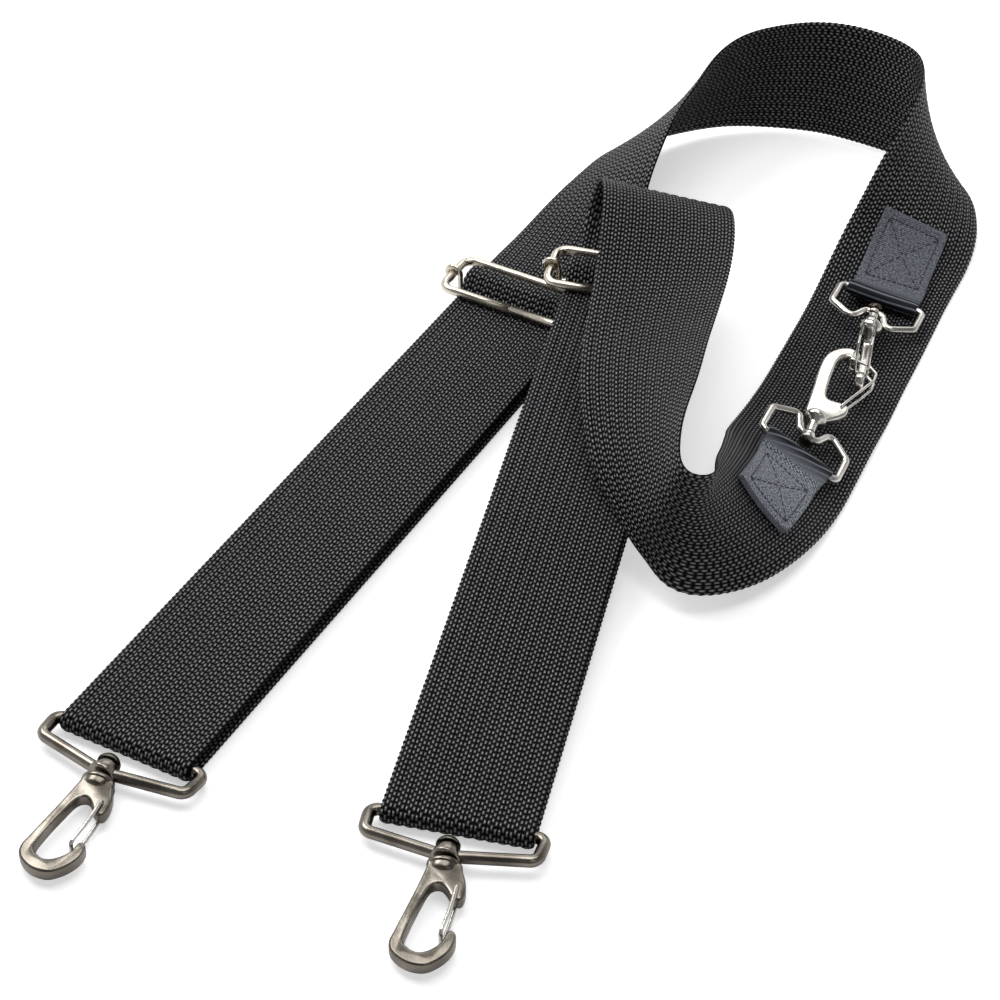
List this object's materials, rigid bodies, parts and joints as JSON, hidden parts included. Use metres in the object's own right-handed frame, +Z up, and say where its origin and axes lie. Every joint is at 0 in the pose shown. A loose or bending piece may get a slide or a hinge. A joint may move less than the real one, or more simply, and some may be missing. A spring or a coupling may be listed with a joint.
{
  "type": "shoulder strap",
  "caption": "Long webbing shoulder strap with a swivel snap hook at each end, sliding length adjusters and linked small hooks on sewn tabs.",
  "frame": {"origin": "middle of the laid-out strap's bounding box, on the table", "axes": "+Z up from the table; +Y from the hooks towards the far loop; +X to the side that carries the small hooks"},
  "size_m": [0.3441, 0.4656, 0.0637],
  "materials": {
    "webbing": "matte ribbed nylon",
    "thread": "matte thread",
    "tape": "fine matte tape",
    "bright_nickel": "polished nickel plate",
    "nickel_wire": "polished wire",
    "gunmetal_loop": "black nickel plate",
    "gunmetal_casting": "black nickel plate"
  },
  "bodies": {
    "strap": {"strap_webbing": "webbing", "left_lower_ply": "webbing", "right_lower_ply": "webbing", "upper_tab": "tape", "upper_tab_stitching": "thread", "lower_tab": "tape", "lower_tab_stitching": "thread"},
    "left_slider": {"left_slider_frame": "bright_nickel", "left_slider_centre_bar": "bright_nickel", "left_sewn_end": "webbing", "left_end_bartack": "thread"},
    "right_slider": {"right_slider_frame": "bright_nickel", "right_slider_centre_bar": "bright_nickel", "right_sewn_end": "webbing", "right_end_bartack": "thread"},
    "left_hook_loop": {"left_hook_base": "gunmetal_loop"},
    "left_hook_swivelling_part": {"left_hook_body": "gunmetal_casting", "left_hook_swivel_rivet": "gunmetal_casting"},
    "left_hook_gate_wire": {"left_hook_gate": "nickel_wire"},
    "right_hook_loop": {"right_hook_base": "gunmetal_loop"},
    "right_hook_swivelling_part": {"right_hook_body": "gunmetal_casting", "right_hook_swivel_rivet": "gunmetal_casting"},
    "right_hook_gate_wire": {"right_hook_gate": "nickel_wire"},
    "upper_small_hook_loop": {"upper_small_hook_base": "bright_nickel"},
    "upper_small_hook_swivelling_part": {"upper_small_hook_body": "bright_nickel", "upper_small_hook_swivel": "bright_nickel"},
    "upper_small_hook_gate_wire": {"upper_small_hook_gate": "bright_nickel"},
    "lower_small_hook_loop": {"lower_small_hook_base": "bright_nickel"},
    "lower_small_hook_swivelling_part": {"lower_small_hook_body": "bright_nickel", "lower_small_hook_swivel": "bright_nickel"},
    "lower_small_hook_gate_wire": {"lower_small_hook_gate": "bright_nickel"}
  },
  "joints": [
    {"name": "left_slider_slide", "type": "slide", "parent": "strap", "child": "left_slider", "axis": [-0.4863, -0.8738, 0], "range_m": [0, 0.18], "deforming": ["left_lower_ply"]},
    {"name": "right_slider_slide", "type": "slide", "parent": "strap", "child": "right_slider", "axis": [-0.2381, -0.9693, -0.061], "range_m": [0, 0.105], "deforming": ["right_lower_ply"]},
    {"name": "left_hook_lift", "type": "hinge", "parent": "strap", "child": "left_hook_loop", "pos_m": [-0.1411, -0.13749, 0.0042], "axis": [-0.8738, 0.4863, 0], "range_deg": [0, 110]},
    {"name": "left_hook_swivel", "type": "hinge", "parent": "left_hook_loop", "child": "left_hook_swivelling_part", "pos_m": [-0.14833, -0.15048, 0.00511], "axis": [-0.3029, -0.9529, -0.0169], "continuous": true},
    {"name": "left_hook_gate_opening", "type": "hinge", "parent": "left_hook_swivelling_part", "child": "left_hook_gate_wire", "pos_m": [-0.14731, -0.16594, 0.0048], "axis": [-0.0065, 0.0198, -0.9998], "range_deg": [0, 25], "stiffness_Nm_per_rad": 0.002, "springref_deg": -17.19},
    {"name": "right_hook_lift", "type": "hinge", "parent": "strap", "child": "right_hook_loop", "pos_m": [-0.0339, -0.1724, 0.0042], "axis": [-0.9711, 0.2385, 0], "range_deg": [0, 110]},
    {"name": "right_hook_swivel", "type": "hinge", "parent": "right_hook_loop", "child": "right_hook_swivelling_part", "pos_m": [-0.03745, -0.18684, 0.00511], "axis": [-0.1394, -0.9901, -0.016], "continuous": true},
    {"name": "right_hook_gate_opening", "type": "hinge", "parent": "right_hook_swivelling_part", "child": "right_hook_gate_wire", "pos_m": [-0.03384, -0.20174, 0.00485], "axis": [-0.0039, 0.0167, -0.9999], "range_deg": [0, 25], "stiffness_Nm_per_rad": 0.002, "springref_deg": -17.19},
    {"name": "upper_small_hook_lift", "type": "hinge", "parent": "strap", "child": "upper_small_hook_loop", "pos_m": [0.12727, 0.10165, 0.00727], "axis": [-0.911, 0.3828, 0.1534], "range_deg": [0, 6]},
    {"name": "upper_small_hook_swivel_turn", "type": "hinge", "parent": "upper_small_hook_loop", "child": "upper_small_hook_swivelling_part", "pos_m": [0.12296, 0.09102, 0.00818], "axis": [-0.2093, -0.9765, 0.0506], "range_deg": [-3, 3]},
    {"name": "upper_small_hook_gate_opening", "type": "hinge", "parent": "upper_small_hook_swivelling_part", "child": "upper_small_hook_gate_wire", "pos_m": [0.11916, 0.07239, 0.01643], "axis": [0.9772, -0.2108, -0.0262], "range_deg": [0, 5], "stiffness_Nm_per_rad": 0.001, "springref_deg": -17.19},
    {"name": "lower_small_hook_lift", "type": "hinge", "parent": "strap", "child": "lower_small_hook_loop", "pos_m": [0.0864, -0.00205, 0.01495], "axis": [0.8037, -0.3527, -0.4792], "range_deg": [0, 6]},
    {"name": "lower_small_hook_swivel_turn", "type": "hinge", "parent": "lower_small_hook_loop", "child": "lower_small_hook_swivelling_part", "pos_m": [0.09083, 0.00855, 0.01458], "axis": [0.3224, 0.9466, 0.0042], "range_deg": [-3, 1.5]},
    {"name": "lower_small_hook_gate_opening", "type": "hinge", "parent": "lower_small_hook_swivelling_part", "child": "lower_small_hook_gate_wire", "pos_m": [0.10392, 0.02461, 0.01368], "axis": [0.1256, -0.0471, 0.991], "range_deg": [0, 2], "stiffness_Nm_per_rad": 0.001, "springref_deg": -17.19}
  ],
  "couplings": [
    {"joint": "lower_small_hook_lift", "follows": "upper_small_hook_lift", "ratio": 1}
  ]
}
